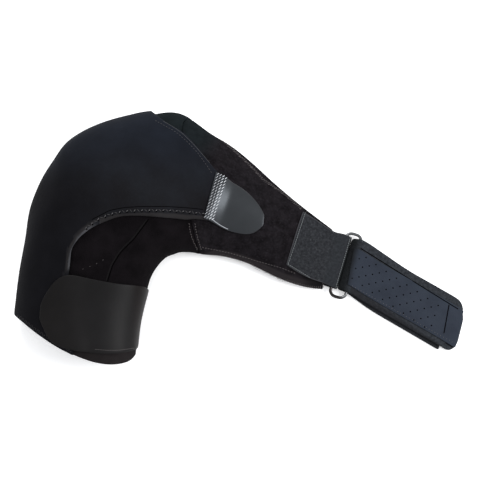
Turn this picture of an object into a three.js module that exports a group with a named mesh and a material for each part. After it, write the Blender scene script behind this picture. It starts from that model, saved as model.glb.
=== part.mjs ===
// Shoulder brace lying closed on a flat surface: an elbow-shaped padded sleeve that takes the
// upper arm and shoulder, a chest band that leaves its open end, a ring in a webbing loop at the
// band's end, and a perforated strap folded round the ring. Millimetres, +Z up. The back of the
// sleeve rests on Z = 0, and the middle of the whole brace is at X = Y = 0.

import * as THREE from 'three';

// Body: the sleeve and the chest band, from the shoulder fold to the end of the band
const bodyWidth = 366;
const bodyDepth = 286;
const bodyHeight = 80;

// Padded cloth of the body, and the clearance that every layer keeps to the next
const panelThickness = 4;
const capThickness = 4;
const tabThickness = 1.6;
const layerGap = 0.5;
const seamGap = 0.4;

// Height of the side seams: how far round the lower corner of the sleeve the back panel comes up
const seamTurn = 0.5;

// Ring and the webbing loop that holds it to the band
const wireDiameter = 4;
const ringLength = 74;
const ringWidth = 14.6;
const ringCorner = 7;
const ringTurn = THREE.MathUtils.degToRad(72.4);
const ringReach = 18.6;
const wireGap = 0.3;
const webbingSlack = 3.2;
const webbingThickness = 1.5;
const webbingWidth = 60;
const webbingUnderlap = 26;

// Perforated strap, folded round the ring's far bar, its lower leg a little out of line
const strapWidth = 58;
const strapLength = 140;
const strapLowerLength = 122;
const strapTurn = THREE.MathUtils.degToRad(-31);
const strapThickness = 3;
const strapShift = 4;
const strapCorner = 12;
const strapMeet = 30;
const coverThickness = 0.9;
const coverUpperBorder = 8;
const coverLowerBorder = 7;
const coverTurn = THREE.MathUtils.degToRad(35);
const coverTurnLeast = 0.2;
const strapSlack = 5.4;

// Soft rounding of every cloth edge: thickness left at the rim, as a share
const rimShare = 0.55;

// Sections of the body, one row per station from the sleeve's mouth to the end of the band.
// Outer is the fold over the shoulder, inner the fold at the armpit: x is a share of bodyWidth
// from the shoulder, y of bodyDepth from the mouth. Crest is the top of the section and low the
// height of its widest point, as shares of bodyHeight.
const sections = [
  { outerX: 0, outerY: 0.147, innerX: 0.377, innerY: 0, crest: 0.7, low: 0.21 },
  { outerX: 0.005, outerY: 0.262, innerX: 0.385, innerY: 0.122, crest: 0.75, low: 0.225 },
  { outerX: 0.014, outerY: 0.374, innerX: 0.407, innerY: 0.245, crest: 0.825, low: 0.25 },
  { outerX: 0.022, outerY: 0.455, innerX: 0.418, innerY: 0.297, crest: 0.9, low: 0.26 },
  { outerX: 0.034, outerY: 0.577, innerX: 0.437, innerY: 0.339, crest: 0.96, low: 0.285 },
  { outerX: 0.069, outerY: 0.704, innerX: 0.462, innerY: 0.374, crest: 1, low: 0.3 },
  { outerX: 0.125, outerY: 0.81, innerX: 0.486, innerY: 0.388, crest: 1, low: 0.3 },
  { outerX: 0.202, outerY: 0.893, innerX: 0.505, innerY: 0.397, crest: 0.95, low: 0.285 },
  { outerX: 0.297, outerY: 0.948, innerX: 0.525, innerY: 0.399, crest: 0.86, low: 0.26 },
  { outerX: 0.399, outerY: 0.985, innerX: 0.541, innerY: 0.399, crest: 0.75, low: 0.225 },
  { outerX: 0.497, outerY: 1, innerX: 0.557, innerY: 0.398, crest: 0.65, low: 0.19 },
  { outerX: 0.59, outerY: 0.92, innerX: 0.573, innerY: 0.395, crest: 0.56, low: 0.165 },
  { outerX: 0.661, outerY: 0.864, innerX: 0.634, innerY: 0.388, crest: 0.485, low: 0.15 },
  { outerX: 0.732, outerY: 0.79, innerX: 0.705, innerY: 0.364, crest: 0.4, low: 0.14 },
  { outerX: 0.803, outerY: 0.703, innerX: 0.77, innerY: 0.325, crest: 0.31, low: 0.13 },
  { outerX: 0.874, outerY: 0.622, innerX: 0.836, innerY: 0.287, crest: 0.225, low: 0.118 },
  { outerX: 0.934, outerY: 0.559, innerX: 0.902, innerY: 0.262, crest: 0.155, low: 0.108 },
  { outerX: 1, outerY: 0.493, innerX: 0.962, innerY: 0.255, crest: 0, low: 0 },
];

// Stations where the sleeve opens, where its tube form has changed to the band's flatter arch and
// where the band ends, and those where the flap of the cap ends, at its lower and its upper corner
const sleeveEnd = 11;
const archStation = 12;
const bandEnd = 16.8;
const flapEnd = { low: 11.3, lowTurn: 1, high: 11.75, highTurn: 1.78 };

// Edge lines on the body. Turn is the angle round a section: 0 at the armpit fold, a quarter
// turn at the crest and half a turn at the shoulder fold. Each row is [along, value].
const mouthStations = [
  [0, -0.12], [0.3, -0.34], [0.85, -0.67], [1.2, -0.76], [1.6, -0.69], [2.05, -0.44], [2.45, -0.2],
  [3.14, 0],
];
const flapTurns = [
  [-0.7, 1.44], [0.35, 1.56], [1.2, 1.64], [2.3, 1.67], [2.9, 1.66], [3.7, 1.53], [4.7, 1.3],
  [6, 1.06], [7.1, 0.93], [8.3, 0.89], [9.6, 0.88], [flapEnd.low, flapEnd.lowTurn],
];
// The cap's two long edges side by side: share is how far along the cap a row lies. Its back edge
// follows the shoulder seam, then turns up over the fold and comes forward along the flap's top.
const capEdges = [
  { share: 0, flapStation: 0, backStation: 0, backTurn: 3.7 },
  { share: 0.25, flapStation: 1.3, backStation: 3.4, backTurn: 3.7 },
  { share: 0.5, flapStation: 3.9, backStation: 6.3, backTurn: 3.7 },
  { share: 0.64, flapStation: 4.9, backStation: 8.1, backTurn: 3.7 },
  { share: 0.7, flapStation: 5.5, backStation: 8.8, backTurn: 3.5 },
  { share: 0.74, flapStation: 6, backStation: 9.05, backTurn: 3.15 },
  { share: 0.78, flapStation: 6.6, backStation: 9.13, backTurn: 2.75 },
  { share: 0.82, flapStation: 7.3, backStation: 9.4, backTurn: 2.4 },
  { share: 0.88, flapStation: 8.6, backStation: 9.85, backTurn: 2.2 },
  { share: 0.94, flapStation: 10, backStation: 10.68, backTurn: 2.04 },
  { share: 1, flapStation: flapEnd.low, backStation: flapEnd.high, backTurn: flapEnd.highTurn },
];
const bandSeamStations = [
  [-0.5, 10.9], [0.33, 10.55], [0.61, 10.12], [0.8, 9.9], [1.5, 9.9], [2.4, 10.05], [3, 10.44], [3.64, 10.6],
];
const hookTabRoot = { low: 11.04, high: 11.46 };
const hookTabTurns = [
  { station: 11.04, low: 1.01, high: 1.82 },
  { station: 11.5, low: 1, high: 1.8 },
  { station: 12.2, low: 0.95, high: 1.8 },
  { station: 12.75, low: 0.985, high: 1.82 },
  { station: 13.2, low: 1.07, high: 1.79 },
  { station: 13.5, low: 1.21, high: 1.74 },
  { station: 13.68, low: 1.36, high: 1.68 },
  { station: 13.74, low: 1.45, high: 1.62 },
];
const armTabStations = [
  { turn: -0.46, low: 0.35, high: 2 },
  { turn: 0, low: 0.2, high: 2 },
  { turn: 0.34, low: -0.02, high: 2 },
  { turn: 0.87, low: -0.34, high: 1.79 },
  { turn: 1.12, low: -0.47, high: 1.72 },
  { turn: 1.4, low: -0.57, high: 1.66 },
  { turn: 1.66, low: -0.61, high: 1.64 },
  { turn: 1.83, low: -0.51, high: 1.4 },
  { turn: 1.93, low: -0.3, high: 1.05 },
  { turn: 1.99, low: 0, high: 0.72 },
  { turn: 2.01, low: 0.15, high: 0.52 },
];
const webbingFar = { lower: [14.94, 0.89], upper: [15.39, 2.6] };
const webbingNear = { lower: [16.7, 0.64], upper: [16.7, 2.8] };

// Turns that the front panel tucks under the cap, and where it widens to wrap the shoulder fold
const panelTuck = 0.38;
const panelWrap = { from: 4.6, to: 8.2 };

// Steps along and across each piece
const steps = {
  cap: [44, 16],
  front: [34, 14],
  back: [22, 9],
  band: [18, 14],
  armTab: [18, 6],
  hookTab: [11, 6],
  webbing: [9, 7, 3, 6],
  strap: [14, 7, 7, 8],
  cover: [14, 4, 0, 6],
  ring: [5, 8],
};

const wireRadius = wireDiameter / 2;
const ringHeight = strapThickness + wireGap + wireRadius;
const bandEndHeight = ringHeight + wireRadius + wireGap - seamGap;
const up = new THREE.Vector3(0, 0, 1);

function clamp01(value) {
  return Math.min(1, Math.max(0, value));
}

function smooth(from, to, value) {
  const share = clamp01((value - from) / (to - from));
  return share * share * (3 - 2 * share);
}

function mix(a, b, share) {
  return a + (b - a) * share;
}

// Smooth curve through a list of numbers, one per whole step, straight beyond both ends
function curveThrough(values, at) {
  const last = values.length - 1;
  if (at <= 0) return values[0] + (values[1] - values[0]) * at;
  if (at >= last) return values[last] + (values[last] - values[last - 1]) * (at - last);
  const start = Math.min(Math.floor(at), last - 1);
  const t = at - start;
  const [a, b, c, d] = [-1, 0, 1, 2].map((k) => values[Math.min(last, Math.max(0, start + k))]);
  const slope = c - a;
  const bend = 2 * a - 5 * b + 4 * c - d;
  const twist = -a + 3 * b - 3 * c + d;
  return b + 0.5 * (slope * t + bend * t * t + twist * t * t * t);
}

// Smooth curve through [along, value] rows, level beyond both ends
function edgeLine(rows, at) {
  let index = rows.findIndex(([along]) => at < along);
  if (index === 0) return rows[0][1];
  if (index < 0) return rows[rows.length - 1][1];
  index -= 1;
  const share = (at - rows[index][0]) / (rows[index + 1][0] - rows[index][0]);
  return curveThrough(rows.map((row) => row[1]), index + share);
}

// One named column of a table of rows, as [along, value] rows
function column(rows, along, name) {
  return rows.map((row) => [row[along], row[name]]);
}

// Body sections in millimetres; the last one lies at the height of the ring
const bodySections = sections.map((row, index) => {
  const last = index === sections.length - 1;
  return {
    outerX: row.outerX * bodyWidth,
    outerY: row.outerY * bodyDepth,
    innerX: row.innerX * bodyWidth,
    innerY: row.innerY * bodyDepth,
    crest: last ? bandEndHeight : row.crest * bodyHeight,
    low: last ? bandEndHeight : row.low * bodyHeight,
  };
});
const sectionColumns = {};
for (const name of Object.keys(bodySections[0])) {
  sectionColumns[name] = bodySections.map((row) => row[name]);
}

// Point on the outside of the body. A section runs over the top as an arch, round the lower
// corners as quarter circles and flat along the surface below: a turn below zero passes the
// armpit corner, a turn above half passes the shoulder corner, and both meet in the middle below.
function bodyPoint(station, turnGiven) {
  const at = {};
  for (const name of Object.keys(sectionColumns)) {
    at[name] = curveThrough(sectionColumns[name], station);
  }
  const outer = new THREE.Vector3(at.outerX, at.outerY, 0);
  const inner = new THREE.Vector3(at.innerX, at.innerY, 0);
  const half = outer.distanceTo(inner) / 2;
  const across = outer.clone().sub(inner).normalize();
  const middle = outer.add(inner).multiplyScalar(0.5);
  const turn = turnGiven > 2 * Math.PI ? turnGiven - 3 * Math.PI : turnGiven;
  const floor = half - at.low;
  let aside;
  let height;
  if (turn < -Math.PI / 2) {
    aside = -floor * (turn + Math.PI) * 2 / Math.PI;
    height = 0;
  } else if (turn < 0) {
    aside = -(floor + at.low * Math.cos(turn));
    height = at.low * (1 + Math.sin(turn));
  } else if (turn <= Math.PI) {
    const flatness = 1 + smooth(sleeveEnd, archStation, station);
    aside = -half * Math.cos(turn);
    height = at.low + (at.crest - at.low) * Math.sin(turn) ** flatness;
  } else if (turn < 1.5 * Math.PI) {
    aside = floor - at.low * Math.cos(turn);
    height = at.low * (1 + Math.sin(turn));
  } else {
    aside = floor * (2 * Math.PI - turn) * 2 / Math.PI;
    height = 0;
  }
  return middle.addScaledVector(across, aside).setZ(height);
}

function bodyNormal(station, turn) {
  const reach = 0.01;
  const along = bodyPoint(station + reach, turn).sub(bodyPoint(station - reach, turn));
  const round = bodyPoint(station, turn + reach).sub(bodyPoint(station, turn - reach));
  return along.cross(round).normalize();
}

function bodyLifted(station, turn, lift) {
  return bodyPoint(station, turn).addScaledVector(bodyNormal(station, turn), lift);
}

// Stations that make up a length along the body at one place
function stationsFor(length, station, turn) {
  const reach = 0.05;
  const step = bodyPoint(station + reach, turn).distanceTo(bodyPoint(station - reach, turn));
  return length * 2 * reach / step;
}

// Even shares from 0 to 1 with one more close to each end, where the edge is rounded
function edgeShares(count) {
  const inset = 0.22 / count;
  const shares = [0, inset];
  for (let k = 1; k < count - 2; k += 1) shares.push(mix(inset, 1 - inset, k / (count - 2)));
  shares.push(1 - inset, 1);
  return shares;
}

// Closed sheet between two faces: faces(u, w) gives the inner and the outer point of each place
function sheetGeometry(alongShares, acrossShares, faces) {
  const rows = alongShares.length;
  const columns = acrossShares.length;
  const positions = [];
  const faceIndex = (side, row, columnAt) => (side * rows + row) * columns + columnAt;
  for (const side of [0, 1]) {
    alongShares.forEach((u, row) => {
      acrossShares.forEach((w, columnAt) => {
        const pair = faces(u, w);
        const rim = row === 0 || row === rows - 1 || columnAt === 0 || columnAt === columns - 1;
        const share = rim ? (1 + (side ? 1 : -1) * rimShare) / 2 : side;
        positions.push(...pair[0].clone().lerp(pair[1], share).toArray());
      });
    });
  }
  const indices = [];
  const quad = (a, b, c, d) => indices.push(a, b, c, a, c, d);
  for (let row = 0; row < rows - 1; row += 1) {
    for (let at = 0; at < columns - 1; at += 1) {
      quad(faceIndex(1, row, at), faceIndex(1, row + 1, at),
        faceIndex(1, row + 1, at + 1), faceIndex(1, row, at + 1));
      quad(faceIndex(0, row, at), faceIndex(0, row, at + 1),
        faceIndex(0, row + 1, at + 1), faceIndex(0, row + 1, at));
    }
  }
  const border = [];
  for (let at = 0; at < columns - 1; at += 1) border.push([0, at]);
  for (let row = 0; row < rows - 1; row += 1) border.push([row, columns - 1]);
  for (let at = columns - 1; at > 0; at -= 1) border.push([rows - 1, at]);
  for (let row = rows - 1; row > 0; row -= 1) border.push([row, 0]);
  border.forEach(([row, at], index) => {
    const [nextRow, nextAt] = border[(index + 1) % border.length];
    quad(faceIndex(0, row, at), faceIndex(1, row, at),
      faceIndex(1, nextRow, nextAt), faceIndex(0, nextRow, nextAt));
  });
  const geometry = new THREE.BufferGeometry();
  geometry.setAttribute('position', new THREE.Float32BufferAttribute(positions, 3));
  geometry.setIndex(indices);
  return facingOut(geometry);
}

// Turns the faces round where they point inwards
function facingOut(geometry) {
  const at = geometry.getAttribute('position');
  const index = geometry.getIndex();
  const corners = [0, 1, 2].map(() => new THREE.Vector3());
  let volume = 0;
  for (let k = 0; k < index.count; k += 3) {
    corners.forEach((corner, side) => corner.fromBufferAttribute(at, index.getX(k + side)));
    volume += corners[0].dot(corners[1].cross(corners[2]));
  }
  if (volume < 0) {
    const turned = Array.from(index.array);
    for (let k = 0; k < turned.length; k += 3) {
      [turned[k + 1], turned[k + 2]] = [turned[k + 2], turned[k + 1]];
    }
    geometry.setIndex(turned);
  }
  geometry.computeVertexNormals();
  return geometry;
}

// Sheet that follows the body: place(u, w) gives its station, its turn and how far its inner
// face is lifted off the outside of the body
function bodySheet([along, across], thickness, place) {
  return sheetGeometry(edgeShares(along), edgeShares(across), (u, w) => {
    const { station, turn, lift } = place(u, w);
    return [bodyLifted(station, turn, lift), bodyLifted(station, turn, lift + thickness)];
  });
}

function cloth(name, geometry, colour, roughness) {
  const material = new THREE.MeshStandardMaterial({ color: colour, roughness, metalness: 0 });
  const mesh = new THREE.Mesh(geometry, material);
  mesh.name = name;
  return mesh;
}

const armpitSeam = -seamTurn;
const shoulderSeam = Math.PI + seamTurn;

// Half of the gap of a side seam, as a turn round the lower corner of one station
function seamHalfTurn(station) {
  return seamGap / 2 / curveThrough(sectionColumns.low, Math.min(station, sleeveEnd));
}

function mouthStation(turn) {
  return edgeLine(mouthStations, Math.min(Math.PI, Math.max(0, turn)));
}

function panelEdgeTurn(station) {
  const tucked = edgeLine(flapTurns, station) + panelTuck;
  const seam = shoulderSeam - seamHalfTurn(sleeveEnd);
  return mix(tucked, seam, smooth(panelWrap.from, panelWrap.to, station));
}

// Front panel: from the armpit seam over the top, tucked under the cap; at the neck side it goes
// all the way round to the shoulder seam
function frontPanel() {
  const place = (u, w) => {
    const near = mix(0, bandSeamStations[3][1], u);
    const turn = mix(armpitSeam + seamHalfTurn(sleeveEnd), panelEdgeTurn(near), w);
    const end = edgeLine(bandSeamStations, turn);
    const station = mix(mouthStation(turn), end - stationsFor(seamGap / 2, end, turn), u);
    return { station, turn, lift: -panelThickness };
  };
  return cloth('front_panel', bodySheet(steps.front, panelThickness, place), 0x191619, 0.95);
}

// Back panel: the flat side that the brace rests on, brought up round both lower corners
function backPanel() {
  const place = (u, w) => {
    const station = mix(stationsFor(layerGap, 0, 2 * Math.PI), sleeveEnd, u);
    const from = shoulderSeam + seamHalfTurn(station);
    const to = 3 * Math.PI + armpitSeam - seamHalfTurn(station);
    const third = Math.PI / 2 - seamTurn;
    const span = to - from;
    const corner = 0.34;
    let turn;
    if (w < corner) turn = from + third * w / corner;
    else if (w > 1 - corner) turn = to - third * (1 - w) / corner;
    else turn = from + third + (span - 2 * third) * (w - corner) / (1 - 2 * corner);
    return { station, turn, lift: -panelThickness };
  };
  return cloth('back_panel', bodySheet(steps.back, panelThickness, place), 0x1d1b1d, 0.95);
}

// How far the cap's inner face stands off the body: over the front panel it lies on top, past
// the panel's hidden edge it drops to take the panel's place
function capLift(station, turn) {
  const ahead = 0.35;
  const edge = Math.max(panelEdgeTurn(station), panelEdgeTurn(station + ahead));
  const over = 1 - smooth(edge + 0.1, edge + 0.8, turn);
  return mix(-panelThickness, layerGap, over);
}

// Shoulder cap: from the shoulder seam over the top; its free front edge is the flap
function shoulderCap() {
  const flapStations = column(capEdges, 'share', 'flapStation');
  const backStations = column(capEdges, 'share', 'backStation');
  const backTurns = column(capEdges, 'share', 'backTurn');
  const place = (u, w) => {
    const flapStation = edgeLine(flapStations, u);
    const mouth = mouthStations[3][1] * (1 - u);
    const seam = shoulderSeam - seamHalfTurn(sleeveEnd);
    const turn = mix(edgeLine(flapTurns, flapStation + mouth), Math.min(seam, edgeLine(backTurns, u)), w);
    const station = mix(flapStation, edgeLine(backStations, u), w) + mouthStation(turn) * (1 - u);
    return { station, turn, lift: capLift(station, turn) };
  };
  return cloth('shoulder_cap', bodySheet(steps.cap, capThickness, place), 0x1e2026, 0.8);
}

// Chest band: sewn to the front panel, it bridges the sleeve's open end and runs to the ring
function chestBand() {
  const place = (u, w) => {
    const near = mix(bandSeamStations[3][1] + 0.5, bandEnd, u);
    const taper = smooth(sleeveEnd - 0.1, sleeveEnd + 0.6, near);
    const low = mix(armpitSeam + seamHalfTurn(sleeveEnd), 0.03, taper);
    const high = mix(shoulderSeam - seamHalfTurn(sleeveEnd), Math.PI - 0.03, taper);
    const turn = mix(low, high, w);
    const start = edgeLine(bandSeamStations, turn);
    const station = mix(start + stationsFor(seamGap / 2, start, turn), bandEnd, u);
    return { station, turn, lift: -panelThickness };
  };
  return cloth('chest_band', bodySheet(steps.band, panelThickness, place), 0x201d20, 1);
}

// Arm tab: the wide closing strap, sewn in at the armpit seam and laid over panel and cap
function armTab() {
  const lows = column(armTabStations, 'turn', 'low');
  const highs = column(armTabStations, 'turn', 'high');
  const place = (u, w) => {
    const turn = mix(armTabStations[0].turn, armTabStations[armTabStations.length - 1].turn, u);
    const station = mix(edgeLine(lows, turn), edgeLine(highs, turn), w);
    const flap = edgeLine(flapTurns, station);
    const onCap = smooth(flap - 0.25, flap - 0.04, turn);
    return { station, turn, lift: layerGap + onCap * (capThickness + layerGap) };
  };
  return cloth('arm_tab', bodySheet(steps.armTab, tabThickness, place), 0x252527, 0.55);
}

// Station where the flap ends at one turn, for the tab that bends down there
function flapEndStation(turn) {
  const share = (turn - flapEnd.lowTurn) / (flapEnd.highTurn - flapEnd.lowTurn);
  return mix(flapEnd.low, flapEnd.high, share);
}

// Hook tab: the rounded end piece of the flap, bent down from the flap onto the band
function hookTab() {
  const lows = column(hookTabTurns, 'station', 'low');
  const highs = column(hookTabTurns, 'station', 'high');
  const place = (u, w) => {
    const root = mix(hookTabRoot.low, hookTabRoot.high, w);
    const station = mix(root, hookTabTurns[hookTabTurns.length - 1].station, u);
    const turn = mix(edgeLine(lows, station), edgeLine(highs, station), w);
    const end = flapEndStation(turn);
    const onFlap = 1 - smooth(end + 0.06, end + 0.55, station);
    return { station, turn, lift: layerGap + onFlap * (capThickness + layerGap) };
  };
  return cloth('hook_tab', bodySheet(steps.hookTab, tabThickness, place), 0x3c4043, 0.4);
}

// Ring: its long bars lie across the brace, one in the webbing loop and one in the strap
const ringAlong = new THREE.Vector3(Math.cos(ringTurn), Math.sin(ringTurn), 0);
const ringOut = new THREE.Vector3(Math.sin(ringTurn), -Math.cos(ringTurn), 0);
const bodyEndPoint = bodyPoint(sections.length - 1, Math.PI / 2);
const ringCentre = bodyEndPoint.clone().setZ(ringHeight).addScaledVector(ringOut, ringReach);
const ringHalfWidth = (ringWidth + wireDiameter) / 2;
const ringHalfLength = (ringLength + wireDiameter) / 2;

function strapRing() {
  const [cornerSteps, sides] = steps.ring;
  const path = [];
  for (const [a, b, from] of [[1, 1, 0], [-1, 1, 1], [-1, -1, 2], [1, -1, 3]]) {
    for (let k = 0; k <= cornerSteps; k += 1) {
      const angle = (from + k / cornerSteps) * Math.PI / 2;
      const out = a * (ringHalfWidth - ringCorner) + ringCorner * Math.cos(angle);
      const along = b * (ringHalfLength - ringCorner) + ringCorner * Math.sin(angle);
      const side = ringOut.clone().multiplyScalar(Math.cos(angle)).addScaledVector(ringAlong, Math.sin(angle));
      path.push([ringCentre.clone().addScaledVector(ringOut, out).addScaledVector(ringAlong, along), side]);
    }
  }
  const positions = [];
  const indices = [];
  path.forEach(([point, side], row) => {
    const next = (row + 1) % path.length;
    for (let k = 0; k < sides; k += 1) {
      const angle = k / sides * 2 * Math.PI;
      const corner = point.clone().addScaledVector(side, wireRadius * Math.cos(angle));
      positions.push(...corner.addScaledVector(up, wireRadius * Math.sin(angle)).toArray());
      const after = (k + 1) % sides;
      const [a, b] = [row * sides + k, next * sides + k];
      const [c, d] = [next * sides + after, row * sides + after];
      indices.push(a, b, c, a, c, d);
    }
  });
  const geometry = new THREE.BufferGeometry();
  geometry.setAttribute('position', new THREE.Float32BufferAttribute(positions, 3));
  geometry.setIndex(indices);
  const material = new THREE.MeshStandardMaterial({ color: 0x8d9096, roughness: 0.25, metalness: 1 });
  const mesh = new THREE.Mesh(facingOut(geometry), material);
  mesh.name = 'strap_ring';
  return mesh;
}

// Loose fold of a flat band round one bar of the ring, bulging by its slack: the angle is a quarter
// turn above the bar and minus a quarter turn below it
function foldPoint(barPoint, away, angle, radius, slack) {
  const bulge = (radius + slack) * Math.cos(angle);
  return barPoint.clone().addScaledVector(away, bulge).setZ(ringHeight + radius * Math.sin(angle));
}

// Webbing loop: its upper leg lies on the band, it folds round the near bar and its lower leg
// lies under the band's end
function ringWebbing() {
  const [upper, fold, lower, across] = steps.webbing;
  const total = upper + fold + lower;
  const bar = ringCentre.clone().addScaledVector(ringOut, -ringHalfWidth);
  const inside = wireRadius + wireGap;
  const faces = (u, w) => {
    const at = u * total;
    const barPoint = bar.clone().addScaledVector(ringAlong, mix(-1, 1, w) * webbingWidth / 2);
    const leg = [inside, inside + webbingThickness];
    if (at >= upper && at <= upper + fold) {
      const angle = Math.PI * (0.5 - (at - upper) / fold);
      return leg.map((radius) => foldPoint(barPoint, ringOut, angle, radius, webbingSlack));
    }
    if (at > upper) {
      const back = (at - upper - fold) / lower * webbingUnderlap;
      return leg.map((drop) => barPoint.clone().addScaledVector(ringOut, -back).setZ(ringHeight - drop));
    }
    const share = at / upper;
    const onBand = 0.8;
    const far = webbingFar.lower.map((value, k) => mix(value, webbingFar.upper[k], w));
    const near = webbingNear.lower.map((value, k) => mix(value, webbingNear.upper[k], w));
    const along = Math.min(1, share / onBand);
    const [station, turn] = far.map((value, k) => mix(value, near[k], along));
    return leg.map((rise, side) => {
      const lying = bodyLifted(station, turn, layerGap + side * webbingThickness);
      const top = barPoint.clone().setZ(ringHeight + rise);
      return lying.lerp(top, clamp01((share - onBand) / (1 - onBand)));
    });
  };
  const shares = [0, 0.25 / total];
  for (let k = 1; k < total; k += 1) shares.push(k / total);
  shares.push(1 - 0.1 / total, 1);
  return cloth('ring_webbing', sheetGeometry(shares, edgeShares(across), faces), 0x35373b, 0.9);
}

// Strap in its own directions: along runs away from the ring, aside across it
const strapAlong = new THREE.Vector3(Math.cos(strapTurn), Math.sin(strapTurn), 0);
const strapAside = new THREE.Vector3(-Math.sin(strapTurn), Math.cos(strapTurn), 0);
const farBar = ringCentre.clone().addScaledVector(ringOut, ringHalfWidth);
const strapSkew = ringAlong.dot(strapAside);

// Length of the strap's end that its rounded corners leave at a distance from its middle
function cornerCut(aside) {
  const into = Math.abs(aside) - (strapWidth / 2 - strapCorner);
  return into <= 0 ? 0 : strapCorner - Math.sqrt(strapCorner ** 2 - into ** 2);
}

// Height of the upper leg's inner face: from the top of the bar down onto the lower leg, and at
// the end down to the surface
function upperLegHeight(reach) {
  const high = ringHeight + wireRadius + wireGap;
  const met = strapThickness + layerGap;
  const down = smooth(strapLowerLength - 2, strapLength, reach);
  return mix(mix(high, met, smooth(0, strapMeet, reach)), met * 0.4, down);
}

// One layer of the strap: it keeps `lift` off the strap's inner face, spans from one distance
// aside to another, and goes round the bar by foldTurn(w) and on along the lower leg
function strapLayer(counts, lift, thickness, asideFrom, asideTo, foldTurn, lowerLength, inset) {
  const [upper, fold, lower, across] = counts;
  const total = upper + fold + lower;
  const inside = wireRadius + wireGap + lift;
  const faces = (u, w) => {
    const at = u * total;
    const aside = mix(asideFrom, asideTo, w);
    const barPoint = farBar.clone().addScaledVector(ringAlong, aside / strapSkew);
    if (at >= upper && at <= upper + fold) {
      const angle = Math.PI / 2 - (at - upper) / fold * foldTurn(w);
      return [inside, inside + thickness].map((radius) => (
        foldPoint(barPoint, ringOut.clone().negate(), angle, radius, strapSlack)));
    }
    if (at > upper) {
      const reach = (at - upper - fold) / lower * lowerLength;
      const shift = -strapShift * smooth(0, strapMeet, reach);
      const leg = barPoint.clone().addScaledVector(strapAlong, reach).addScaledVector(strapAside, shift);
      return [inside, inside + thickness].map((drop) => leg.clone().setZ(ringHeight - drop));
    }
    const reach = (1 - at / upper) * (strapLength - inset - cornerCut(aside));
    const leg = barPoint.clone().addScaledVector(strapAlong, reach);
    return [lift, lift + thickness].map((rise) => leg.clone().setZ(upperLegHeight(reach) + rise));
  };
  const shares = [0, 0.25 / total];
  for (let k = 1; k < total; k += 1) shares.push(k / total);
  shares.push(1 - 0.2 / total, 1);
  return sheetGeometry(shares, edgeShares(across), faces);
}

// Strap core: the full width, folded round the far bar in two layers
function strapCore() {
  const half = strapWidth / 2;
  const round = () => Math.PI;
  const geometry = strapLayer(steps.strap, 0, strapThickness, -half, half, round, strapLowerLength, 0);
  return cloth('strap_core', geometry, 0x25262b, 0.9);
}

// Strap cover: the perforated ply on the upper leg, with the core's borders left bare. It ends a
// little way down the fold, further down at the upper border
function strapCover() {
  const from = -strapWidth / 2 + coverLowerBorder;
  const to = strapWidth / 2 - coverUpperBorder;
  const lift = strapThickness + wireGap;
  const turnAt = (w) => coverTurn * mix(coverTurnLeast, 1, w);
  const geometry = strapLayer(steps.cover, lift, coverThickness, from, to, turnAt, 0, 1);
  return cloth('strap_cover', geometry, 0x373d47, 0.85);
}

const brace = new THREE.Group();
brace.add(backPanel(), frontPanel(), shoulderCap(), chestBand(), armTab(), hookTab());
brace.add(strapRing(), ringWebbing(), strapCore(), strapCover());

// The middle of the whole brace comes to X = Y = 0
const extent = new THREE.Box3().setFromObject(brace);
const centre = extent.getCenter(new THREE.Vector3());
brace.position.set(-centre.x, -centre.y, -extent.min.z);
brace.updateMatrixWorld(true);

export default brace;
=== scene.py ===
import math

import bmesh
import bpy
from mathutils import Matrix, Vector, noise
from mathutils.bvhtree import BVHTree
from mathutils.kdtree import KDTree


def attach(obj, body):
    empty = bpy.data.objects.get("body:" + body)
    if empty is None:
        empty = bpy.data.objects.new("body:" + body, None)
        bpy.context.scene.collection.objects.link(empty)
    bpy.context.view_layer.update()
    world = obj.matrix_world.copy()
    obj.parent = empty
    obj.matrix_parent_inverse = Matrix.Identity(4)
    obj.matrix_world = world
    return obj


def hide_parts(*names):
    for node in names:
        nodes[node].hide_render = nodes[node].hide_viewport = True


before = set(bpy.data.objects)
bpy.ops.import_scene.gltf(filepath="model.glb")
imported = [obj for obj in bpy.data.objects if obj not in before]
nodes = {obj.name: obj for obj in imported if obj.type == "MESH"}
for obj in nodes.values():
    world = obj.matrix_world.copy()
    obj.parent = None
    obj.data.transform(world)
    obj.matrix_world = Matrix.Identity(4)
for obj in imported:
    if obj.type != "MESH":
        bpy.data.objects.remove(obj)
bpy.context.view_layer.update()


# Where the brace lies: a white studio table under soft light, seen steeply from the front. The
# camera looks at the middle of the picture, which is a little off the brace's own middle.
photo_middle = Vector((-0.0017, -0.0075, 0.020))
photo_elevation = math.radians(76)
photo_distance = 0.92
photo_size = 480
lens_mm, sensor_mm = 60, 36


def new_object(name, data):
    """An object in the scene for a camera, a light or a mesh."""
    made = bpy.data.objects.new(name, data)
    bpy.context.scene.collection.objects.link(made)
    return made


camera_data = bpy.data.cameras.new("photo_camera")
camera_data.lens = lens_mm
camera_data.sensor_width = sensor_mm
camera_data.clip_start = 0.01
camera = new_object("photo_camera", camera_data)
away = Vector((0, -math.cos(photo_elevation), math.sin(photo_elevation)))
view_turn = away.to_track_quat("Z", "Y").to_matrix()
camera.location = photo_middle + away * photo_distance
camera.rotation_euler = view_turn.to_euler()
bpy.context.scene.camera = camera
bpy.context.scene.view_settings.view_transform = "Standard"


def set_inputs(node, values):
    """Sets some inputs of a node to plain values."""
    for socket, value in values.items():
        node.inputs[socket].default_value = value


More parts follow.
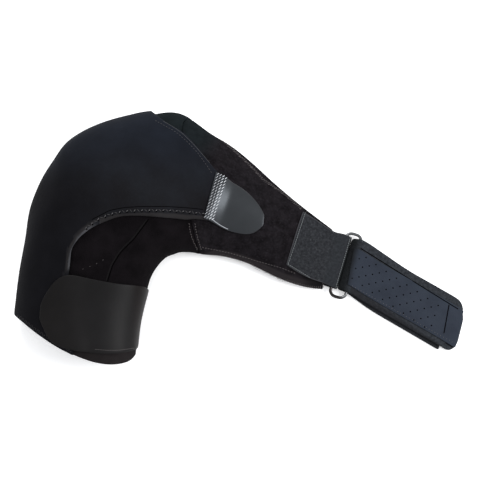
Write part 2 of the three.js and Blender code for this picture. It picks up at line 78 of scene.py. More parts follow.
table_half = 4
table_corners = [(-table_half, -table_half, 0), (table_half, -table_half, 0),
                 (table_half, table_half, 0), (-table_half, table_half, 0)]
table_mesh = bpy.data.meshes.new("table_top")
table_mesh.from_pydata(table_corners, [], [(0, 1, 2, 3)])
table_top = new_object("table_top", table_mesh)
table_white = bpy.data.materials.new("table_white")
table_white.use_nodes = True
set_inputs(table_white.node_tree.nodes["Principled BSDF"], {
    "Base Color": (0.96, 0.96, 0.96, 1), "Roughness": 0.8,
    "Emission Color": (1, 1, 1, 1), "Emission Strength": 0.25})
table_mesh.materials.append(table_white)

sky = bpy.data.worlds.new("studio")
sky.use_nodes = True
set_inputs(sky.node_tree.nodes["Background"], {"Color": (0.97, 0.98, 1, 1), "Strength": 1.05})
bpy.context.scene.world = sky

softboxes = {
    "window_light": {"at": (1.12, -0.09, 0.86), "size": 0.6, "watts": 13},
    "back_light": {"at": (-0.25, 1.1, 0.9), "size": 0.6, "watts": 9},
}
for name, box in softboxes.items():
    lamp = bpy.data.lights.new(name, "AREA")
    lamp.size = box["size"]
    lamp.energy = box["watts"]
    softbox = new_object(name, lamp)
    softbox.location = box["at"]
    softbox.rotation_euler = Vector(box["at"]).to_track_quat("Z", "Y").to_euler()


# Back panel: the flat back of the sleeve, one piece of 4 mm laminated neoprene, brought up round
# both lower corners and sewn edge to edge to the front panel and the cap.
same_point, tiny = 1e-5, 1e-9
smooth_turn = math.radians(42)
pair_bend, pair_skew = math.radians(50), math.radians(70)
skin_nodes = ("shoulder_cap", "front_panel", "chest_band")
skin_spare, padding_hold, skin_damping = 0.03, 0.5, 5
still_below = 0.008
settle_frames, easing_passes = 10, 6
most_move = 0.0026
swell_reach, swell_points, still_weight = 0.014, 24, 0.4
dent_size, dent_depth, dent_seed = 0.055, 0.0007, 5
full_height = 0.02
line_spacing = 0.0012


def merged_copy(node):
    """The CAD solid of a node as one connected mesh."""
    sheet = bmesh.new()
    sheet.from_mesh(nodes[node].data)
    bmesh.ops.remove_doubles(sheet, verts=sheet.verts, dist=same_point)
    sheet.normal_update()
    return sheet


def outer_faces(sheet):
    """The indexes of a sheet's outer faces: the largest patch that no sharp edge crosses."""
    sheet.faces.ensure_lookup_table()
    patch_of = [-1] * len(sheet.faces)
    areas = []
    for first in sheet.faces:
        if patch_of[first.index] >= 0:
            continue
        patch_of[first.index] = len(areas)
        areas.append(0)
        waiting = [first]
        while waiting:
            face = waiting.pop()
            areas[-1] += face.calc_area()
            for edge in face.edges:
                for other in edge.link_faces:
                    if patch_of[other.index] < 0 and edge.calc_face_angle() < smooth_turn:
                        patch_of[other.index] = len(areas) - 1
                        waiting.append(other)
    outer = areas.index(max(areas))
    return {face.index for face in sheet.faces if patch_of[face.index] == outer}


def join_pairs(sheet):
    """Joins triangles to four-sided faces where a pair lies nearly flat."""
    bmesh.ops.join_triangles(sheet, faces=sheet.faces, angle_face_threshold=pair_bend,
                             angle_shape_threshold=pair_skew)


def settled_skin():
    """Where each point of the padded layers' outer skin goes in a cloth simulation. The sewn
    borders hold still, and the padding behind lets the cloth's spare length rise in soft swells."""
    skin = bmesh.new()
    for node in skin_nodes:
        sheet = merged_copy(node)
        outer = outer_faces(sheet)
        hidden = [face for face in sheet.faces if face.index not in outer]
        bmesh.ops.delete(sheet, geom=hidden, context="FACES")
        part = bpy.data.meshes.new(node + "_skin")
        sheet.to_mesh(part)
        sheet.free()
        skin.from_mesh(part)
        bpy.data.meshes.remove(part)
    join_pairs(skin)
    skin.verts.ensure_lookup_table()
    still = [vertex.index for vertex in skin.verts if vertex.is_boundary or vertex.co.z < still_below]
    mesh = bpy.data.meshes.new("settling_skin")
    skin.to_mesh(mesh)
    skin.free()
    places = [vertex.co.copy() for vertex in mesh.vertices]
    sheet = new_object("settling_skin", mesh)
    held = sheet.vertex_groups.new(name="held")
    held.add(range(len(places)), padding_hold, "REPLACE")
    held.add(still, 1, "REPLACE")
    settle = sheet.modifiers.new("settle", "CLOTH")
    settle.settings.vertex_group_mass = "held"
    settle.settings.shrink_min = -skin_spare
    settle.settings.air_damping = skin_damping
    settle.collision_settings.use_collision = False
    settle.point_cache.frame_end = settle_frames
    for step in range(1, settle_frames + 1):
        bpy.context.scene.frame_set(step)
    evaluated = sheet.evaluated_get(bpy.context.evaluated_depsgraph_get())
    moves = [vertex.co - place for vertex, place in zip(evaluated.data.vertices, places)]
    beside = [[] for _ in places]
    for edge in mesh.edges:
        one, other = edge.vertices
        beside[one].append(other)
        beside[other].append(one)
    for _ in range(easing_passes):
        moves = [sum((moves[index] for index in near), move) / (1 + len(near))
                 for move, near in zip(moves, beside)]
    bpy.data.objects.remove(sheet)
    bpy.context.scene.frame_set(1)
    return places, [move * min(1, most_move / max(move.length, tiny)) for move in moves]


def search_tree(places):
    """A search tree over some places."""
    near = KDTree(len(places))
    for index, place in enumerate(places):
        near.insert(place, index)
    near.balance()
    return near


skin_places, skin_moves = settled_skin()
skin_near = search_tree(skin_places)
noise.seed_set(dent_seed)


def soft_shift(point):
    """How far the padding gives at a point. All layers share it, so they stay clear of each other:
    the simulated skin's swells near it, and slow dents everywhere, less towards the table."""
    move = Vector()
    weight = still_weight
    for _, index, distance in skin_near.find_n(point, swell_points):
        share = math.exp(-(distance / swell_reach) ** 2)
        move += skin_moves[index] * share
        weight += share
    dents = Vector(noise.noise_vector(point / dent_size)) * dent_depth
    return (move / weight + dents) * min(1, point.z / full_height)


def rim_loop(node):
    """The border of a cloth sheet's outer face, as a closed list of points."""
    sheet = merged_copy(node)
    outer = outer_faces(sheet)
    following = {}
    for face in sheet.faces:
        if face.index not in outer:
            continue
        for loop in face.loops:
            if loop.link_loop_radial_next.face.index not in outer:
                following[loop.vert.index] = loop.link_loop_next.vert.index
    sheet.verts.ensure_lookup_table()
    loops = []
    while following:
        walk = [min(following)]
        while walk[-1] in following:
            walk.append(following.pop(walk[-1]))
        loops.append([sheet.verts[index].co.copy() for index in walk[:-1]])
    sheet.free()
    return max(loops, key=len)


def evenly(points, spacing, closed=False):
    """The same line with its points at even distances."""
    line = points + points[:1] if closed else points
    along = [0.0]
    for a, b in zip(line, line[1:]):
        along.append(along[-1] + (b - a).length)
    count = max(2, round(along[-1] / spacing))
    result = []
    at = 0
    for step in range(count if closed else count + 1):
        reach = along[-1] * step / count
        while at < len(line) - 2 and along[at + 1] < reach:
            at += 1
        span = max(tiny, along[at + 1] - along[at])
        result.append(line[at].lerp(line[at + 1], (reach - along[at]) / span))
    return result


def finished(name, draft):
    """The draft with its modifiers worked in, as a plain mesh that rides on the brace."""
    bpy.context.view_layer.update()
    evaluated = draft.evaluated_get(bpy.context.evaluated_depsgraph_get())
    mesh = bpy.data.meshes.new_from_object(evaluated)
    mesh.name = name
    mesh.polygons.foreach_set("use_smooth", [True] * len(mesh.polygons))
    bpy.data.objects.remove(draft)
    piece = new_object(name, mesh)
    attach(piece, "root")
    return piece


def border_of(node):
    """A search tree over the border of a piece's outer face."""
    border = evenly(rim_loop(node), line_spacing, closed=True)
    return search_tree([point + soft_shift(point) for point in border])


def mark_rim(piece, node):
    """Writes each point's distance from the piece's border, in millimetres, for its material."""
    near = border_of(node)
    distances = [near.find(vertex.co)[2] * 1000 for vertex in piece.data.vertices]
    piece.data.attributes.new("rim_mm", "FLOAT", "POINT").data.foreach_set("value", distances)


def soft_piece(name, node, cloth, levels=2):
    """A smooth cloth piece in place of a node, with the swells of its padding."""
    sheet = merged_copy(node)
    join_pairs(sheet)
    mesh = bpy.data.meshes.new(name)
    sheet.to_mesh(mesh)
    sheet.free()
    draft = new_object(name, mesh)
    smoother = draft.modifiers.new("smooth", "SUBSURF")
    smoother.levels = smoother.render_levels = levels
    piece = finished(name, draft)
    for vertex in piece.data.vertices:
        vertex.co += soft_shift(vertex.co)
    piece.data.materials.append(cloth)
    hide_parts(node)
    return piece


def added(tree, kind, wires, values=None, **settings):
    """A new node in a tree, with its settings made, its inputs wired and its other inputs set."""
    node = tree.nodes.new(kind)
    for setting, value in settings.items():
        setattr(node, setting, value)
    for socket, source in wires.items():
        tree.links.new(source, node.inputs[socket])
    set_inputs(node, values or {})
    return node


def vector_node(tree, operation, first, second, scale=None):
    """A Vector Math node of two vectors, or of one vector and a scale."""
    node = tree.nodes.new("ShaderNodeVectorMath")
    node.operation = operation
    tree.links.new(first, node.inputs[0])
    if second is not None:
        tree.links.new(second, node.inputs[1])
    if scale is not None:
        tree.links.new(scale, node.inputs["Scale"])
    return node.outputs[0]


def math_node(tree, operation, first, second):
    """A Math node of two values, each of them a socket or a number."""
    node = tree.nodes.new("ShaderNodeMath")
    node.operation = operation
    for index, value in enumerate((first, second)):
        if isinstance(value, (int, float)):
            node.inputs[index].default_value = value
        else:
            tree.links.new(value, node.inputs[index])
    return node.outputs[0]


mottle_low, mottle_high = 0.36, 0.66
lint_mm, wobble_mm = 2.4, 1.2
mix_share, mix_first, mix_second, mix_result = 0, 6, 7, 2


def new_material(name):
    """A material with its tree and shader, and the object coordinates that its patterns read."""
    material = bpy.data.materials.new(name)
    material.use_nodes = True
    tree = material.node_tree
    place = tree.nodes.new("ShaderNodeTexCoord").outputs["Object"]
    return material, tree, tree.nodes["Principled BSDF"], place


def two_tones(tree, pattern, shade, tone, low, high):
    """A colour that goes from a shade to a tone as a pattern's value goes from low to high."""
    tones = added(tree, "ShaderNodeValToRGB", {"Fac": pattern})
    for element, position, colour in zip(tones.color_ramp.elements, (low, high), (shade, tone)):
        element.position = position
        element.color = (*colour, 1)
    return tones.outputs["Color"]


def mixed(tree, colour, share, tint):
    """A colour mixed by a share with a tint, which is a socket or a plain tone."""
    mix = added(tree, "ShaderNodeMix", {mix_share: share, mix_first: colour}, data_type="RGBA")
    if isinstance(tint, tuple):
        mix.inputs[mix_second].default_value = (*tint, 1)
    else:
        tree.links.new(tint, mix.inputs[mix_second])
    return mix.outputs[mix_result]


def speckle(tree, place, scale, detail, rough=0.5):
    """A noise pattern, by its number of spots in a metre and how fine it goes."""
    spots = added(tree, "ShaderNodeTexNoise", {"Vector": place},
                  {"Scale": scale, "Detail": detail, "Roughness": rough})
    return spots.outputs["Fac"]


def ranged(tree, pattern, low, high, first, last):
    """A value that goes from first to last as a pattern's value goes from low to high."""
    span = added(tree, "ShaderNodeMapRange", {"Value": pattern},
                 {"From Min": low, "From Max": high, "To Min": first, "To Max": last})
    return span.outputs["Result"]


def embossed(tree, shader, height, strength, depth):
    """Gives a shader fine relief from the height of a pattern."""
    bump = added(tree, "ShaderNodeBump", {"Height": height}, {"Strength": strength, "Distance": depth})
    tree.links.new(bump.outputs["Normal"], shader.inputs["Normal"])


def cloth_material(name, tone, shade, patch_mm=14, weave_mm=1.2, relief=0.3, rough=0.85, gloss=0.1,
                   lint=0.0, lint_tone=(0, 0, 0), rim=None, painted=False):
    """Cloth: two tones mottled together, a fine weave, and pale lint where it is fuzzy. A rim gives
    its own tone from the border to some distance in, and a painted piece brings its own tints."""
    material, tree, shader, place = new_material(name)
    mottle = speckle(tree, place, 1000 / patch_mm, detail=7, rough=0.6)
    colour = two_tones(tree, mottle, shade, tone, mottle_low, mottle_high)
    weave = added(tree, "ShaderNodeTexVoronoi", {"Vector": place}, {"Scale": 1000 / weave_mm})
    height = weave.outputs["Distance"]
    if lint:
        height = speckle(tree, place, 1000 / lint_mm, detail=8, rough=0.8)
        pale = ranged(tree, height, low=0.5, high=0.68, first=0, last=lint)
        colour = mixed(tree, colour, pale, lint_tone)
    if rim:
        border = added(tree, "ShaderNodeAttribute", {}, attribute_name="rim_mm")
        wobble = math_node(tree, "MULTIPLY", math_node(tree, "SUBTRACT", mottle, 0.5), wobble_mm)
        distance = math_node(tree, "ADD", wobble, border.outputs["Fac"])
        share = ranged(tree, distance, low=rim["to_mm"] - rim["fade_mm"], high=rim["to_mm"],
                       first=rim["share"], last=0)
        colour = mixed(tree, colour, share, rim["tone"])
    if painted:
        tint = added(tree, "ShaderNodeAttribute", {}, attribute_name="tint")
        strength = ranged(tree, mottle, mottle_low, mottle_high, first=0.78, last=1.12)
        mottled = vector_node(tree, "SCALE", tint.outputs["Color"], None, strength)
        colour = mixed(tree, colour, tint.outputs["Alpha"], mottled)
    tree.links.new(colour, shader.inputs["Base Color"])
    embossed(tree, shader, height, strength=relief, depth=0.0005)
    set_inputs(shader, {"Roughness": rough, "Specular IOR Level": gloss})
    return material


back_cloth = cloth_material("back_neoprene", (0.006, 0.0052, 0.006), (0.0034, 0.003, 0.0034),
                            weave_mm=1.1, relief=0.5, gloss=0.03,
                            rim={"to_mm": 4, "fade_mm": 2, "share": 0.7, "tone": (0.011, 0.01, 0.011)})
back_panel = soft_piece("back_panel_cloth", "back_panel", back_cloth)
mark_rim(back_panel, "back_panel")


# Front panel: the dark panel seen under the flap, of the same neoprene, matt and without sheen. A
# gore seam crosses it under the flap, and double rows of zigzag join it to the chest band.
front_cloth = cloth_material("front_neoprene", (0.0054, 0.0044, 0.0052), (0.0028, 0.0023, 0.0027),
                             weave_mm=1.1, relief=0.5, gloss=0.02, patch_mm=22, painted=True,
                             rim={"to_mm": 5, "fade_mm": 2, "share": 0.8, "tone": (0.012, 0.0105, 0.0115)})
# Painted light: lighter and bluer where the panel turns over at the top, and lighter along the mouth's hem
# under the arm tab.
hump_light_tone = (0.0069, 0.0092, 0.0105)
hem_light_tone = (0.014, 0.0122, 0.0126)
hump_rise, hem_drop = (0.1, 0.122), (-0.118, -0.126)


def paint(piece, rule):
    """Writes a second tone on a piece for its material: the rule gives each point's tone and how
    much of it shows."""
    tints = []
    for vertex in piece.data.vertices:
        tone, share = rule(vertex.co)
        tints += [*tone, share]
    piece.data.attributes.new("tint", "FLOAT_COLOR", "POINT").data.foreach_set("color", tints)


def ramp(value, start, end):
    """From 0 at the start to 1 at the end, softly."""
    share = min(1, max(0, (value - start) / (end - start)))
    return share * share * (3 - 2 * share)


def front_tint(point):
    """The panel has painted light where it turns over at the top and along the mouth's hem."""
    at_hump = ramp(point.y, *hump_rise)
    at_hem = ramp(point.y, *hem_drop)
    return (hump_light_tone, at_hump) if at_hump else (hem_light_tone, at_hem)


front_panel = soft_piece("front_panel_cloth", "front_panel", front_cloth)
mark_rim(front_panel, "front_panel")
paint(front_panel, front_tint)


def smoothed(vectors, passes):
    """The list with each vector drawn towards its neighbours, both ends kept."""
    for _ in range(passes):
        inner = [(a + 2 * b + c) / 4 for a, b, c in zip(vectors, vectors[1:], vectors[2:])]
        vectors = vectors[:1] + inner + vectors[-1:]
    return vectors


def surface_of(*pieces):
    """A search tree over the faces of some pieces."""
    corners = []
    faces = []
    for piece in pieces:
        first = len(corners)
        corners += [vertex.co for vertex in piece.data.vertices]
        faces += [[first + corner for corner in face.vertices] for face in piece.data.polygons]
    return BVHTree.FromPolygons(corners, faces)


pixel_step = 1.0
pixel_easing, line_easing, normal_easing, border_easing, inset_easing = 6, 4, 8, 10, 6
either_side = 2


def photo_line(surface, pixels):
    """A line on a piece through a few pixels of the photograph, with the surface's normals."""
    line = [Vector((*pixel, 0)) for pixel in pixels]
    line = smoothed(evenly(line, pixel_step), pixel_easing)
    points = []
    for pixel in line:
        aside = (pixel.x / photo_size - 0.5) * sensor_mm / lens_mm
        upward = (0.5 - pixel.y / photo_size) * sensor_mm / lens_mm
        ray = (view_turn @ Vector((aside, upward, -1))).normalized()
        hit = surface.ray_cast(camera.location, ray)[0]
        if hit:
            points.append(hit)
    return laid(surface, smoothed(evenly(points, line_spacing), line_easing))


def laid(surface, points):
    """Points laid on a surface, with its normals smoothed along the line."""
    nearest = [surface.find_nearest(point) for point in points]
    normals = smoothed([hit[1] for hit in nearest], normal_easing)
    return [hit[0] for hit in nearest], [normal.normalized() for normal in normals]


def to_photo(point):
    """The pixel of the photograph where a point of the brace shows."""
    seen = view_turn.transposed() @ (point - camera.location)
    scale = photo_size * lens_mm / sensor_mm / -seen.z
    return Vector((photo_size / 2 + seen.x * scale, photo_size / 2 - seen.y * scale))


def rim_line(surface, node, first, through, last, inset):
    """The part of a piece's border between two pixels of the photograph that passes a third, moved
    in from the border along the surface."""
    loop = evenly(rim_loop(node), line_spacing, closed=True)
    pixels = [to_photo(point) for point in loop]

    def nearest(pixel):
        return min(range(len(loop)), key=lambda k: (pixels[k] - Vector(pixel)).length)

    start, middle, end = nearest(first), nearest(through), nearest(last)
    count = len(loop)
    step = 1 if (middle - start) % count < (end - start) % count else -1
    length = (end - start) * step % count
    line = smoothed([loop[(start + step * k) % count] for k in range(length + 1)],
                    border_easing)
    line = [point + soft_shift(point) for point in line]
    return laid(surface, smoothed(moved_in(surface, line, inset), inset_easing))


def moved_in(surface, line, inset):
    """A border line moved in along the surface, to the side where the surface goes on."""
    result = []
    for index, point in enumerate(line):
        before = line[max(0, index - either_side)]
        after = line[min(len(line) - 1, index + either_side)]
        normal = surface.find_nearest(point)[1]
        aside = normal.cross((after - before).normalized()).normalized() * inset
        sides = [point + aside, point - aside]
        result.append(min(sides, key=lambda side: surface.find_nearest(side)[3]))
    return result


def new_tree(name, sizes):
    """A Geometry Nodes tree with its geometry sockets and one named input for each size."""
    tree = bpy.data.node_groups.new(name, "GeometryNodeTree")
    face = tree.interface
    face.new_socket("Geometry", in_out="INPUT", socket_type="NodeSocketGeometry")
    face.new_socket("Geometry", in_out="OUTPUT", socket_type="NodeSocketGeometry")
    for size, kind in sizes.items():
        face.new_socket(size, in_out="INPUT", socket_type="NodeSocket" + kind)
    return tree, tree.nodes.new("NodeGroupInput").outputs, tree.nodes.new("NodeGroupOutput")


def clad(tree, result, shapes, cloth):
    """Ends a tree: its shapes are made real and given their material."""
    real = added(tree, "GeometryNodeRealizeInstances", {"Geometry": shapes})
    dressed = added(tree, "GeometryNodeSetMaterial",
                    {"Geometry": real.outputs["Geometry"], "Material": cloth})
    tree.links.new(dressed.outputs["Geometry"], result.inputs["Geometry"])
    return tree


def sized(modifier, values):
    """Sets a Geometry Nodes modifier's inputs, each found by its name."""
    for item in modifier.node_group.interface.items_tree:
        if item.in_out == "INPUT" and item.name in values:
            modifier[item.identifier] = values[item.name]


least_number, most_number, drawn_number = 2, 3, 1


def thread_tree():
    """Stitches along a line on a surface: each is a short thread turned by Slant from the line, to
    one side and the other by turns where Alternate is 1."""
    tree, given, result = new_tree("thread_rows", {
        "Pitch": "Float", "Stitch Length": "Float", "Thread Radius": "Float", "Slant": "Float",
        "Alternate": "Float", "Side Shift": "Float", "Lift": "Float", "Jitter": "Float",
        "Seed": "Int", "Thread": "Material"})
    curve = added(tree, "GeometryNodeMeshToCurve", {"Mesh": given["Geometry"]})
    spaced = added(tree, "GeometryNodeResampleCurve",
                   {"Curve": curve.outputs["Curve"], "Length": given["Pitch"]}, mode="LENGTH")
    surface = added(tree, "GeometryNodeInputNamedAttribute", {}, {"Name": "surface"},
                    data_type="FLOAT_VECTOR")
    normal = surface.outputs["Attribute"]
    tangent = tree.nodes.new("GeometryNodeInputTangent").outputs["Tangent"]
    side = vector_node(tree, "CROSS_PRODUCT", normal, tangent)
    index = tree.nodes.new("GeometryNodeInputIndex").outputs["Index"]
    odd = math_node(tree, "MODULO", index, 2)
    flip = math_node(tree, "MULTIPLY", math_node(tree, "MULTIPLY", odd, -2), given["Alternate"])
    sign = math_node(tree, "ADD", flip, 1)
    chance = added(tree, "FunctionNodeRandomValue", {"Seed": given["Seed"]},
                   {least_number: -1.0, most_number: 1.0})
    astray = math_node(tree, "MULTIPLY", chance.outputs[drawn_number], given["Jitter"])
    angle = math_node(tree, "ADD", math_node(tree, "MULTIPLY", given["Slant"], sign), astray)
    forward = vector_node(tree, "SCALE", tangent, None, math_node(tree, "COSINE", angle, 0))
    sideward = vector_node(tree, "SCALE", side, None, math_node(tree, "SINE", angle, 0))
    heading = vector_node(tree, "ADD", forward, sideward)
    turn = added(tree, "FunctionNodeAxesToRotation",
                 {"Primary Axis": normal, "Secondary Axis": heading},
                 primary_axis="Z", secondary_axis="X")
    lifted = vector_node(tree, "ADD", vector_node(tree, "SCALE", normal, None, given["Lift"]),
                         vector_node(tree, "SCALE", side, None, given["Side Shift"]))
    placed = added(tree, "GeometryNodeSetPosition",
                   {"Geometry": spaced.outputs["Curve"], "Offset": lifted})
    stitch = added(tree, "GeometryNodeMeshUVSphere", {}, {"Segments": 6, "Rings": 5, "Radius": 1})
    half = math_node(tree, "MULTIPLY", given["Stitch Length"], 0.5)
    size = added(tree, "ShaderNodeCombineXYZ",
                 {"X": half, "Y": given["Thread Radius"], "Z": given["Thread Radius"]})
    copies = added(tree, "GeometryNodeInstanceOnPoints", {
        "Points": placed.outputs["Geometry"], "Instance": stitch.outputs["Mesh"],
        "Rotation": turn.outputs["Rotation"], "Scale": size.outputs["Vector"]})
    return clad(tree, result, copies.outputs["Instances"], given["Thread"])


thread_rows = thread_tree()
ply_shade = 0.45


def thread_material(name, tone):
    """Sewing thread: slightly glossy, its plies showing as fine ridges."""
    material, tree, shader, place = new_material(name)
    fibres = speckle(tree, place, scale=2200, detail=3)
    shade = [ply_shade * part for part in tone]
    plies = two_tones(tree, fibres, shade, tone, low=0.3, high=0.7)
    tree.links.new(plies, shader.inputs["Base Color"])
    embossed(tree, shader, fibres, strength=0.4, depth=0.0001)
    set_inputs(shader, {"Roughness": 0.55, "Specular IOR Level": 0.3})
    return material


def line_mesh(name, rows):
    """Lines as a mesh of edges, each point with the normal of the surface under it."""
    points = []
    normals = []
    edges = []
    for row_points, row_normals in rows:
        first = len(points)
        points += row_points
        normals += row_normals
        edges += [(first + k, first + k + 1) for k in range(len(row_points) - 1)]
    mesh = bpy.data.meshes.new(name)
    mesh.from_pydata(points, edges, [])
    flat = [part for normal in normals for part in normal]
    mesh.attributes.new("surface", "FLOAT_VECTOR", "POINT").data.foreach_set("vector", flat)
    return mesh


def line_work(name, material, rows, tree, sizes):
    """A piece that a node tree makes along lines, with the tree's inputs by name."""
    draft = new_object(name, line_mesh(name, rows))
    draft.data.materials.append(material)
    work = draft.modifiers.new(name, "NODES")
    work.node_group = tree
    sized(work, sizes)
    finished(name, draft)


def stitches(name, thread, rows, pitch, length, radius, slant=0, alternate=0, shift=0, lift=0.1,
             jitter=4, seed=1):
    """Rows of stitches along lines on a piece. Sizes are in millimetres and degrees."""
    line_work(name, thread, rows, thread_rows, {
        "Pitch": pitch / 1000, "Stitch Length": length / 1000, "Thread Radius": radius / 1000,
        "Slant": math.radians(slant), "Alternate": float(alternate), "Side Shift": shift / 1000,
        "Lift": lift / 1000, "Jitter": math.radians(jitter), "Seed": seed, "Thread": thread})


dark_thread = thread_material("dark_thread", (0.06, 0.052, 0.053))
black_thread = thread_material("black_thread", (0.006, 0.006, 0.0075))

front_face = surface_of(front_panel)
gore_seam_pixels = [(147, 219), (133, 238), (119, 252), (111, 265), (106, 281)]
gore_tack_pixels = [(83, 269), (94, 265), (103, 260)]
shadow_right, shadow_down = 1.5, 0.4


def cord_tree():
    """A round cord along a line, half sunk in the surface."""
    tree, given, result = new_tree("cord_line", {"Radius": "Float", "Lift": "Float", "Cloth": "Material"})
    surface = added(tree, "GeometryNodeInputNamedAttribute", {}, {"Name": "surface"},
                    data_type="FLOAT_VECTOR")
    offset = vector_node(tree, "SCALE", surface.outputs["Attribute"], None, given["Lift"])
    placed = added(tree, "GeometryNodeSetPosition", {"Geometry": given["Geometry"], "Offset": offset})
    curve = added(tree, "GeometryNodeMeshToCurve", {"Mesh": placed.outputs["Geometry"]})
    section = added(tree, "GeometryNodeCurvePrimitiveCircle", {"Radius": given["Radius"]},
                    {"Resolution": 8})
    tube = added(tree, "GeometryNodeCurveToMesh",
                 {"Curve": curve.outputs["Curve"], "Profile Curve": section.outputs["Curve"]},
                 {"Fill Caps": True})
    return clad(tree, result, tube.outputs["Mesh"], given["Cloth"])


cord_line = cord_tree()


def cord(name, cloth, rows, radius, lift):
    """A raised cord along lines on a piece. Sizes are in millimetres."""
    line_work(name, cloth, rows, cord_line,
              {"Radius": radius / 1000, "Lift": lift / 1000, "Cloth": cloth})


# The gore seam's welt is painted dark as shade, and the near-black cords of seam_shadow are painted shadow
# in seams.
welt_shade_cloth = cloth_material("seam_welt_shade", (0.0034, 0.0028, 0.0032), (0.002, 0.0016, 0.0019), relief=0.4)
seam_shadow = cloth_material("seam_painted_shadow", (0.0016, 0.0013, 0.0015), (0.0008, 0.0007, 0.0008), gloss=0)
gore_seam = photo_line(front_face, gore_seam_pixels)
gore_shadow_line = photo_line(front_face, [(x + shadow_right, y + shadow_down) for x, y in gore_seam_pixels])
cord("gore_seam_welt", welt_shade_cloth, [gore_seam], radius=1.5, lift=-1.1)
cord("gore_seam_painted_shadow", seam_shadow, [gore_shadow_line], radius=0.7, lift=-0.3)
stitches("gore_tack_stitches", dark_thread, [photo_line(front_face, gore_tack_pixels)],
         pitch=6.5, length=1.5, radius=0.4, slant=20, jitter=14)
mouth_hem = rim_line(front_face, "front_panel", (139, 349), (118, 363), (70, 356), inset=0.0032)
stitches("mouth_hem_stitches", dark_thread, [mouth_hem],
         pitch=2.4, length=4.6, radius=0.4, slant=74, jitter=10)


# Chest band: neoprene faced with brushed loop cloth, so hooks grip it anywhere. It is sewn edge
# to edge to the front panel and overlocked along both long edges.
band_cloth = cloth_material("loop_face", (0.01, 0.0086, 0.0102), (0.0042, 0.0036, 0.0042),
                            weave_mm=1.6, relief=0.9, rough=1.0, gloss=0.02, patch_mm=9, painted=True,
                            lint=0.36, lint_tone=(0.031, 0.0285, 0.032),
                            rim={"to_mm": 9, "fade_mm": 2.5, "share": 0.75, "tone": (0.021, 0.0185, 0.0195)})
# Painted shade on the loop face under the webbing at the ring.
under_webbing_shade_tone = (0.0065, 0.0062, 0.0068)
ring_end_x, hump_corner, hump_share = (296, 318), (375, 335), 0.9


def band_tint(point):
    """The loop face has painted light where it turns over the top of the sleeve and painted shade at the
    ring, under the webbing.
    """
    pixel = to_photo(point)
    at_ring = ramp(pixel.x, *ring_end_x)
    at_hump = ramp(pixel.x + pixel.y, *hump_corner)
    return (under_webbing_shade_tone, at_ring) if at_ring else (hump_light_tone, hump_share * at_hump)


chest_band = soft_piece("chest_band_cloth", "chest_band", band_cloth)
mark_rim(chest_band, "chest_band")
paint(chest_band, band_tint)
band_face = surface_of(chest_band)
band_upper_edge = photo_line(band_face, [(206, 127.5), (215.7, 135), (234.8, 150.5), (253.8, 168.3),
                                         (263.3, 179), (284.8, 193.3), (301.4, 207.6)])
band_lower_row = photo_line(band_face, [(203, 247.5), (218, 250.5), (230, 253), (258.6, 261.5),
                                        (280, 267.5), (294.3, 273)])
band_lower_edge = rim_line(band_face, "chest_band", (201, 252), (254, 266), (322, 287), inset=0.003)
band_seam_pixels = {
    "left": [(189, 224), (190, 232), (193, 241), (197, 249)],
    "right": [(195, 224), (196, 232), (198.5, 241), (201, 249)],
}
seam_face = surface_of(front_panel, chest_band)
brown_thread = thread_material("brown_thread", (0.085, 0.074, 0.074))
stitches("band_seam_stitches", brown_thread,
         [photo_line(seam_face, pixels) for pixels in band_seam_pixels.values()],
         pitch=2.9, length=2.5, radius=0.42, slant=30, alternate=1, jitter=10)
stitches("band_overlock", dark_thread, [band_upper_edge, band_lower_edge],
         pitch=2.3, length=4.4, radius=0.36, slant=68, shift=-1.6, jitter=16)
stitches("band_edge_chain", brown_thread, [band_upper_edge, band_lower_row],
         pitch=3.4, length=2.3, radius=0.42, jitter=18, seed=2)
stitches("band_tack_flecks", brown_thread, [band_upper_edge],
         pitch=9.5, length=2.6, radius=0.45, slant=35, shift=-2.6, jitter=40, seed=5)
hump_seam_pixels = [(179.8, 133.5), (180.8, 130), (181.6, 126.5), (183.8, 122.5), (187.3, 119.8)]
# The cord over the hump's seam takes the hump's painted light, dimmed as painted shade so the seam stays
# faint.
hump_welt_share, hump_shade_share = 0.95, 0.8
hump_cloth = cloth_material("hump_welt", [hump_welt_share * part for part in hump_light_tone],
                            [hump_shade_share * part for part in hump_light_tone], relief=0.5, gloss=0.02)
cord("hump_seam_cord", hump_cloth, [photo_line(seam_face, hump_seam_pixels)],
     radius=2.4, lift=-2.05)


# Shoulder cap: the large smooth outer panel, neoprene with a soft jersey face. Its free front
# edge is the flap, turned under and held with zigzag; a finer row follows the flap's top edge.
cap_cloth = cloth_material("cap_jersey", (0.0078, 0.0085, 0.0106), (0.0056, 0.0054, 0.0064),
                           relief=0.22, rough=0.72, gloss=0.03, patch_mm=45, painted=True,
                           lint=0.1, lint_tone=(0.024, 0.024, 0.027))
# Painted light and shade on the cap: lighter and bluer at the top, darker at the left and along the mouth.
cap_top_light_tone = Vector((0.0073, 0.009, 0.0134))
cap_side_shade_tone = Vector((0.0046, 0.0045, 0.0057))
rolled_tone = (0.017, 0.0158, 0.0165)
# A painted highlight where the flap's cut edge shows.
cut_edge_highlight_tone = (0.05, 0.05, 0.055)
flap_above = 0.03
cut_depth, cut_x, cut_y = (1.8, 0.9), (100, 86), (272, 266)
roll_depth, roll_y = (4.4, 3.6), (274, 267)
top_rise, left_x, mouth_drop = (0.03, 0.12), (130, 50), (-0.06, -0.085)
flap_edge_pixels = [(66.5, 278), (68.8, 273.5), (69.7, 260.3), (72.1, 250), (78.5, 238.2), (87.4, 229.4),
                    (100.6, 222), (118.2, 218.2), (138.8, 216.8), (159.4, 216.8), (183, 218.2),
                    (206, 220)]
flap_edge_step = 0.5
flap_edge = evenly([Vector((*pixel, 0)) for pixel in flap_edge_pixels], flap_edge_step)
flap_edge_near = search_tree(flap_edge)


